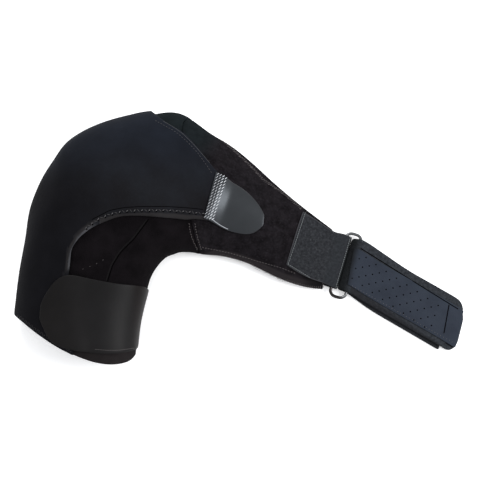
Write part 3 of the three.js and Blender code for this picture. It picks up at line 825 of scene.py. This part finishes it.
def cap_tint(point):
    """The flap's rolled edge is lighter, with a painted highlight where its cut shows. The cap has painted
    light, bluer, at the top and painted shade at the left and along the mouth."""
    pixel = to_photo(point)
    away = flap_edge_near.find((pixel.x, pixel.y, 0))[2]
    if away < roll_depth[0] and point.z > flap_above:
        at_cut_highlight = ramp(away, *cut_depth) * ramp(pixel.x, *cut_x) * ramp(pixel.y, *cut_y)
        at_roll = ramp(away, *roll_depth) * ramp(pixel.y, *roll_y)
        return (cut_edge_highlight_tone, at_cut_highlight) if at_cut_highlight else (rolled_tone, at_roll)
    at_top_light = ramp(point.y, *top_rise)
    at_side_shade = (1 - at_top_light) * max(ramp(pixel.x, *left_x), ramp(point.y, *mouth_drop))
    tone = cap_side_shade_tone.lerp(cap_top_light_tone, at_top_light / max(at_top_light + at_side_shade, tiny))
    return tone, at_top_light + at_side_shade


shoulder_cap = soft_piece("shoulder_cap_cloth", "shoulder_cap", cap_cloth)
paint(shoulder_cap, cap_tint)
cap_face = surface_of(shoulder_cap)
flap_zigzag = photo_line(cap_face, [(86, 228), (97, 219.5), (110, 214), (125, 211), (140, 210.3),
                                    (166, 210.2), (185, 211.5), (203, 213.5)])
flap_top_row = photo_line(cap_face, [(156, 121), (163.5, 125), (176, 132), (187, 141.5),
                                     (197, 152), (205, 163), (211, 172)])
flap_thread = thread_material("flap_thread", (0.046, 0.043, 0.0455))
# A near-black cord: painted shadow along a line above the flap's zigzag.
flap_painted_shadow = photo_line(cap_face, [(92, 219.5), (110, 210.2), (125, 207.4), (140, 206.6), (166, 206.5),
                                    (185, 207.6), (203, 209.4)])
cord("flap_painted_shadow", seam_shadow, [flap_painted_shadow], radius=0.5, lift=-0.28)
flap_top_edge = photo_line(cap_face, [(163.5, 121.3), (172, 126.2), (182, 133), (193, 143.8), (203, 155),
                                      (209.5, 162.8)])
cut_face = thread_material("flap_cut_face", (0.03, 0.031, 0.034))
cord("flap_top_edge", cut_face, [flap_top_edge], radius=0.4, lift=-0.15)
faint_thread = thread_material("faint_thread", (0.026, 0.0245, 0.026))
fleck_thread = thread_material("fleck_thread", (0.105, 0.101, 0.105))
stitches("flap_zigzag", faint_thread, [flap_zigzag],
         pitch=4, length=4.4, radius=0.5, slant=42, alternate=1, jitter=12)
stitches("flap_flecks", fleck_thread, [flap_zigzag],
         pitch=8, length=2.1, radius=0.5, slant=35, jitter=25, lift=0.2)
# Dark dots of painted shadow at the needle pricks.
stitches("flap_prick_shadows", seam_shadow, [flap_zigzag],
         pitch=8, length=2.6, radius=0.8, slant=40, shift=-1.4, jitter=25, lift=-0.2, seed=3)
stitches("flap_top_stitches", flap_thread, [flap_top_row],
         pitch=3.6, length=2.6, radius=0.32, slant=8, jitter=10)
mouth_row = rim_line(cap_face, "shoulder_cap", (18, 318), (40, 336), (62, 348), inset=0.0032)
cap_seam_thread = thread_material("cap_seam_thread", (0.014, 0.0135, 0.015))
stitches("cap_seam_stitches", cap_seam_thread, [mouth_row],
         pitch=2.6, length=3.6, radius=0.32, slant=62, alternate=1, jitter=6)


# Hook tab: the rounded end piece of the flap, moulded hooks below and a glossy grey back, sewn on
# with four dense rows of pale thread, greyer in the two rows at the flap.
hook_back, hook_tree, hook_shader, hook_place = new_material("hook_tab_gloss")
hook_haze = speckle(hook_tree, hook_place, scale=90, detail=5)
hook_tones = two_tones(hook_tree, hook_haze, shade=(0.0066, 0.0068, 0.0075),
                       tone=(0.0126, 0.013, 0.014), low=0, high=1)
hook_tint = added(hook_tree, "ShaderNodeAttribute", {}, attribute_name="tint")
hook_colour = mixed(hook_tree, hook_tones, hook_tint.outputs["Alpha"], hook_tint.outputs["Color"])
hook_tree.links.new(hook_colour, hook_shader.inputs["Base Color"])
hook_grain = speckle(hook_tree, hook_place, scale=900, detail=4)
embossed(hook_tree, hook_shader, hook_grain, strength=0.12, depth=0.0003)
set_inputs(hook_shader, {
    "Roughness": 0.32, "Specular IOR Level": 0.37, "Specular Tint": (0.84, 0.92, 1, 1)})
hook_tab = soft_piece("hook_tab_back", "hook_tab", hook_back, levels=3)
hook_face = surface_of(hook_tab)
tab_root_left = (Vector((216.5, 173.5)), Vector((204, 216)))
tab_root_right = (Vector((227.5, 178)), Vector((214, 219.5)))
tab_root_tone = (0.0045, 0.0045, 0.005)
# A painted highlight on the tab's lower cut edge.
tab_edge_highlight_tone = (0.24, 0.25, 0.27)
root_fade, edge_depth, edge_x, edge_y = (0.5, -0.5), (0.0012, 0.0005), (230, 226), (214, 219)
tab_border = border_of("hook_tab")


def beyond(pixel, line):
    """How many pixels of the photograph a place lies to the right of a line that runs down."""
    first, last = Vector(line[0]), Vector(line[1])
    return (pixel - first).cross((last - first).normalized())


def tab_tint(point):
    """Dark cloth shows between the stitches at the root, and the lower cut edge is painted pale as a
    highlight.
    """
    pixel = to_photo(point)
    at_root = ramp(beyond(pixel, tab_root_right), *root_fade)
    at_edge_highlight = ramp(tab_border.find(point)[2], *edge_depth)
    at_edge_highlight *= ramp(pixel.y, *edge_y) * ramp(pixel.x, *edge_x)
    return (tab_root_tone, at_root) if at_root else (tab_edge_highlight_tone, at_edge_highlight)


paint(hook_tab, tab_tint)
tab_rows, grey_rows = 4, 2
tab_lines = []
for row in range(tab_rows):
    share = (row + 0.5) / tab_rows
    ends = [left.lerp(right, share) for left, right in zip(tab_root_left, tab_root_right)]
    tab_lines.append(photo_line(hook_face, ends))
pale_thread = thread_material("pale_thread", (0.82, 0.84, 0.88))
grey_thread = thread_material("grey_thread", (0.5, 0.51, 0.54))
for row, tab_line in enumerate(tab_lines):
    row_thread = grey_thread if row < grey_rows else pale_thread
    stitches(f"hook_tab_zigzag_{row}", row_thread, [tab_line],
             pitch=3.9, length=4.9, radius=0.37, slant=-30, jitter=3, lift=0.15)
# A pale cord: a painted highlight along the tab's lower cut edge.
cut_edge_highlight = thread_material("tab_cut_edge_highlight", (0.42, 0.44, 0.47))
tab_cut_edge_highlight = photo_line(hook_face, [(211.5, 218.6), (216.5, 222.8), (222, 226.4), (228, 229.2)])
cord("hook_tab_cut_edge_highlight", cut_edge_highlight, [tab_cut_edge_highlight], radius=0.42, lift=-0.1)


# Arm tab: the wide closing strap across the upper arm, a thin satin cloth on hook tape, its long
# edges turned under.
# The rim's pale tone along the tab's edges is a painted highlight on its cut edges.
tab_cloth = cloth_material("arm_tab_satin", (0.0066, 0.0062, 0.0066), (0.005, 0.0046, 0.0048),
                           weave_mm=0.7, relief=0.15, rough=0.42, gloss=0.088, patch_mm=40, painted=True,
                           rim={"to_mm": 1.6, "fade_mm": 0.8, "share": 0.8, "tone": (0.022, 0.021, 0.022)})
# Painted shade where the tab turns round the arm; the other tone is browner towards the rounded end.
rounded_end_tone = (0.005, 0.0043, 0.0043)
tab_turn_shade_tone = (0.0034, 0.0018, 0.0018)
turn_from, turn_x, turn_shade_share, rounded_end_x = 125, (127, 140), 0.85, (100, 45)


def arm_tab_tint(point):
    """The tab is browner towards its rounded end and has painted shade where it goes round the arm."""
    across = to_photo(point).x
    if across > turn_from:
        return tab_turn_shade_tone, turn_shade_share * ramp(across, *turn_x)
    return rounded_end_tone, ramp(across, *rounded_end_x)


arm_tab = soft_piece("arm_tab_cloth", "arm_tab", tab_cloth)
mark_rim(arm_tab, "arm_tab")
paint(arm_tab, arm_tab_tint)
tab_hem_row = photo_line(surface_of(arm_tab), [(96, 349.4), (108, 350.4), (120, 350.2), (133, 348.2)])
stitches("arm_tab_hem_stitches", brown_thread, [tab_hem_row],
         pitch=2.6, length=2.2, radius=0.32, slant=6, jitter=12)


# Strap ring: 4 mm wire bent to a long loop and plated, its ends welded under the webbing. The
# webbing's fold and the strap's fold hold it between them.
ring_plate, ring_tree, ring_shader, ring_place = new_material("ring_plating")
ring_scuffs = speckle(ring_tree, ring_place, scale=700, detail=6)
ring_rough = ranged(ring_tree, ring_scuffs, low=0.35, high=0.7, first=0.14, last=0.34)
ring_tree.links.new(ring_rough, ring_shader.inputs["Roughness"])
ring_tones = added(ring_tree, "ShaderNodeAttribute", {}, attribute_name="tint")
ring_tree.links.new(ring_tones.outputs["Color"], ring_shader.inputs["Base Color"])
set_inputs(ring_shader, {"Metallic": 1})
strap_ring = soft_piece("strap_ring_wire", "strap_ring", ring_plate)
# Painted reflection and shade: the lower end of the ring is painted dark.
ring_bright_tone = Vector((0.12, 0.123, 0.127))
ring_dark_reflection_tone = Vector((0.03, 0.027, 0.027))
dark_end_x, dark_end_y = (345, 338), (278, 288)


def ring_tint(point):
    """The plating is bright, and painted dark at its lower end as reflection of dark cloth and shade between
    the webbing and the strap.
    """
    pixel = to_photo(point)
    darkened = ramp(pixel.y, *dark_end_y) * ramp(pixel.x, *dark_end_x)
    return ring_bright_tone.lerp(ring_dark_reflection_tone, darkened), 1


paint(strap_ring, ring_tint)


# Ring webbing: hook-faced webbing folded round the ring's near bar and sewn to the band with
# grey thread. Its hooks are pressed flat towards the ring.
webbing_cloth = cloth_material("hook_webbing", (0.0205, 0.0216, 0.0248), (0.0102, 0.0109, 0.0126),
                               weave_mm=1.3, relief=0.8, rough=0.9, gloss=0.05, patch_mm=3, painted=True,
                               lint=0.6, lint_tone=(0.055, 0.058, 0.063),
                               rim={"to_mm": 1.5, "fade_mm": 0.8, "share": 0.7, "tone": (0.05, 0.05, 0.054)})
webbing_fold = ((350.4, 237.4), (335.4, 288.7))
webbing_smooth_tone = (0.0185, 0.0205, 0.0235)
# Painted shade where the webbing and the strap turn round the ring.
fold_shade_tone = (0.0075, 0.0083, 0.009)
fold_from, fold_fade, smooth_fade, smooth_share = -1, (-0.5, 2), (-20, -9), 0.8
ring_webbing = soft_piece("ring_webbing_cloth", "ring_webbing", webbing_cloth)
mark_rim(ring_webbing, "ring_webbing")


def webbing_tint(point):
    """Smoother towards the ring, where the hooks are pressed flat, and painted dark as shade round the fold.
    """
    past = beyond(to_photo(point), webbing_fold)
    if past > fold_from:
        return fold_shade_tone, ramp(past, *fold_fade)
    return webbing_smooth_tone, smooth_share * ramp(past, *smooth_fade)


def fold_out(piece, heading, reach, shift):
    """Rounds a fold out along a heading, so that the two folds on the ring nearly touch."""
    places = [vertex.co.dot(heading) for vertex in piece.data.vertices]
    tip = max(places)
    for vertex, place in zip(piece.data.vertices, places):
        vertex.co += heading * shift * max(0, 1 - (tip - place) / reach)


def flared(piece, aside, inner, most, start, end):
    """Widens a piece on its upper side, more and more from a start to an end along the heading:
    the cloth there is pulled out by the ring."""
    outer = max(vertex.co.dot(aside) for vertex in piece.data.vertices
                if ramp(vertex.co.dot(ring_heading), start, end) > 0.5)
    for vertex in piece.data.vertices:
        share = ramp(vertex.co.dot(aside), outer - inner, outer)
        vertex.co += ring_bar * most * share * ramp(vertex.co.dot(ring_heading), start, end)


ring_heading = Vector((0.959, -0.282, 0))
ring_bar = Vector((0.282, 0.959, 0))
fold_reach, fold_shift = 0.012, 0.0008
fold_out(ring_webbing, ring_heading, fold_reach, fold_shift)
flared(ring_webbing, ring_bar, inner=0.022, most=0.0044, start=0.1, end=0.118)
paint(ring_webbing, webbing_tint)
webbing_face = surface_of(ring_webbing)
webbing_thread = thread_material("webbing_thread", (0.15, 0.165, 0.168))
webbing_rows = [photo_line(webbing_face, pixels) for pixels in (
    [(305.5, 212), (297, 238), (288.5, 263)], [(288.5, 264.5), (309, 277)], webbing_fold)]
stitches("webbing_stitches", webbing_thread, webbing_rows,
         pitch=2.5, length=2.5, radius=0.42, jitter=6)


# Strap: dark border cloth over a thin foam core, folded round the ring in two layers. A slate ply
# with punched holes is sewn on its outer face, plain beyond a cross seam near the end.
border_cloth = cloth_material("strap_border_cloth", (0.029, 0.032, 0.037), (0.0145, 0.016, 0.0188),
                              weave_mm=1.4, relief=1.0, rough=0.9, gloss=0.04, patch_mm=3, painted=True)
strap_core = soft_piece("strap_core_cloth", "strap_core", border_cloth)
strap_run, strap_drop = 0.8235, -0.567
strap_turn = math.atan2(strap_drop, strap_run)
strap_aside = Vector((-math.sin(strap_turn), math.cos(strap_turn), 0))
cover_middle, cover_half = 0.0453, 0.0165
# Painted shade: the core is near-black where it shows at the bottom of the holes.
hole_shade_tone = (0.002, 0.002, 0.0022)
lower_border_tone = (0.0152, 0.0158, 0.018)
fold_end, punched_from, upper_layer = (0.139, 0.128), 0.142, 0.004
lower_edge, lower_share = (-0.021, -0.0235), 0.92


def fold_shade_share(point):
    """How much of the painted shade at the fold shows at a point of the strap."""
    return ramp(point.dot(ring_heading), *fold_end)


def core_tint(point):
    """The strap has painted shade at its fold and under the punched holes, and is darker along its lower
    edge.
    """
    across = point.dot(strap_aside) - cover_middle
    under_cover = abs(across) < cover_half and point.dot(ring_heading) > punched_from
    if under_cover and point.z > upper_layer:
        return hole_shade_tone, 1
    if fold_shade_share(point):
        return fold_shade_tone, fold_shade_share(point)
    return lower_border_tone, lower_share * ramp(across, *lower_edge)


fold_out(strap_core, -ring_heading, fold_reach, fold_shift)
flared(strap_core, strap_aside, inner=0.014, most=0.0012, start=0.3, end=0.25)
flared(strap_core, strap_aside, inner=0.014, most=0.0048, start=0.21, end=0.14)
strap_tip = max((vertex.co.copy() for vertex in strap_core.data.vertices), key=lambda place: place.x)
tip_reach, tip_pull = 0.010, 0.0014


def tip_eased(piece):
    """Rounds the strap's foremost corner a little more than its cut."""
    for vertex in piece.data.vertices:
        away = (vertex.co - strap_tip).xy.length
        vertex.co.x -= tip_pull * max(0, 1 - away / tip_reach) ** 2


tip_eased(strap_core)
paint(strap_core, core_tint)

face_cloth = cloth_material("strap_face_cloth", (0.0235, 0.0288, 0.0395), (0.0182, 0.0222, 0.031),
                            weave_mm=1.0, relief=0.4, rough=0.8, gloss=0.05, patch_mm=26, painted=True)


def punch_tree():
    """Round holes in staggered rows, punched through a ply from above. Rows run along the heading."""
    tree, given, result = new_tree("punched_rows", {
        "Holes": "Int", "Rows": "Int", "Hole Pitch": "Float", "Row Pitch": "Float",
        "Diameter": "Float", "Along": "Float", "Across": "Float", "Skew": "Float",
        "Heading": "Float", "Cloth": "Material"})
    gaps = math_node(tree, "SUBTRACT", given["Holes"], 1)
    width = math_node(tree, "MULTIPLY", gaps, given["Hole Pitch"])
    row_gaps = math_node(tree, "SUBTRACT", given["Rows"], 1)
    height = math_node(tree, "MULTIPLY", row_gaps, given["Row Pitch"])
    grid = added(tree, "GeometryNodeMeshGrid", {
        "Size X": width, "Size Y": height, "Vertices X": given["Holes"], "Vertices Y": given["Rows"]})
    index = tree.nodes.new("GeometryNodeInputIndex").outputs["Index"]
    row = math_node(tree, "MODULO", index, given["Rows"])
    odd = math_node(tree, "MODULO", row, 2)
    half = math_node(tree, "MULTIPLY", math_node(tree, "MULTIPLY", odd, given["Hole Pitch"]), 0.5)
    skewed = math_node(tree, "SUBTRACT", half, math_node(tree, "MULTIPLY", row, given["Skew"]))
    middle = math_node(tree, "ADD", given["Along"], math_node(tree, "MULTIPLY", width, 0.5))
    shift = added(tree, "ShaderNodeCombineXYZ",
                  {"X": math_node(tree, "ADD", middle, skewed), "Y": given["Across"]})
    staggered = added(tree, "GeometryNodeSetPosition",
                      {"Geometry": grid.outputs["Mesh"], "Offset": shift.outputs["Vector"]})
    turn = added(tree, "ShaderNodeCombineXYZ", {"Z": given["Heading"]})
    turned = added(tree, "GeometryNodeTransform",
                   {"Geometry": staggered.outputs["Geometry"], "Rotation": turn.outputs["Vector"]})
    punch = added(tree, "GeometryNodeMeshCylinder",
                  {"Radius": math_node(tree, "MULTIPLY", given["Diameter"], 0.5)},
                  {"Vertices": 12, "Depth": 0.04})
    punches = added(tree, "GeometryNodeInstanceOnPoints",
                    {"Points": turned.outputs["Geometry"], "Instance": punch.outputs["Mesh"]})
    pins = added(tree, "GeometryNodeRealizeInstances", {"Geometry": punches.outputs["Instances"]})
    punched = added(tree, "GeometryNodeMeshBoolean",
                    {"Mesh 1": given["Geometry"], "Mesh 2": pins.outputs["Geometry"]},
                    operation="DIFFERENCE", solver="EXACT")
    return clad(tree, result, punched.outputs["Mesh"], given["Cloth"])


punch_edge = math.radians(50)
plain_cover = soft_piece("strap_cover_plain", "strap_cover", face_cloth)
tip_eased(plain_cover)
cover_draft = new_object("strap_cover_cloth", plain_cover.data.copy())
bpy.data.objects.remove(plain_cover)
punching = cover_draft.modifiers.new("holes", "NODES")
punching.node_group = punch_tree()
sized(punching, {"Holes": 8, "Rows": 6, "Hole Pitch": 0.014, "Row Pitch": 0.006, "Diameter": 0.0018,
                 "Along": 0.1333, "Across": cover_middle, "Skew": 0.0014, "Heading": strap_turn,
                 "Cloth": face_cloth})
strap_cover = finished("strap_cover_cloth", cover_draft)
strap_cover.data.set_sharp_from_angle(angle=punch_edge)
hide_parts("strap_cover")
# Painted shade on the cover where it runs into the fold.
paint(strap_cover, lambda point: (fold_shade_tone, fold_shade_share(point)))
strap_face = surface_of(strap_cover, strap_core)
slate_thread = thread_material("slate_thread", (0.066, 0.068, 0.077))
stitches("strap_lower_stitches", slate_thread,
         [photo_line(strap_face, [(352.5, 286), (402, 314), (452, 342)])],
         pitch=3.6, length=1.7, radius=0.4, jitter=50)
strap_grooves = [photo_line(strap_face, [(361, 248.5), (410, 279.3), (458, 309)]),
                 photo_line(strap_face, [(449, 305), (446.5, 319), (444, 333)])]
cord("strap_seam_grooves", seam_shadow, strap_grooves, radius=0.62, lift=-0.1)
stitches("strap_seam_stitches", black_thread, strap_grooves,
         pitch=2.6, length=2.6, radius=0.4, lift=0.1)
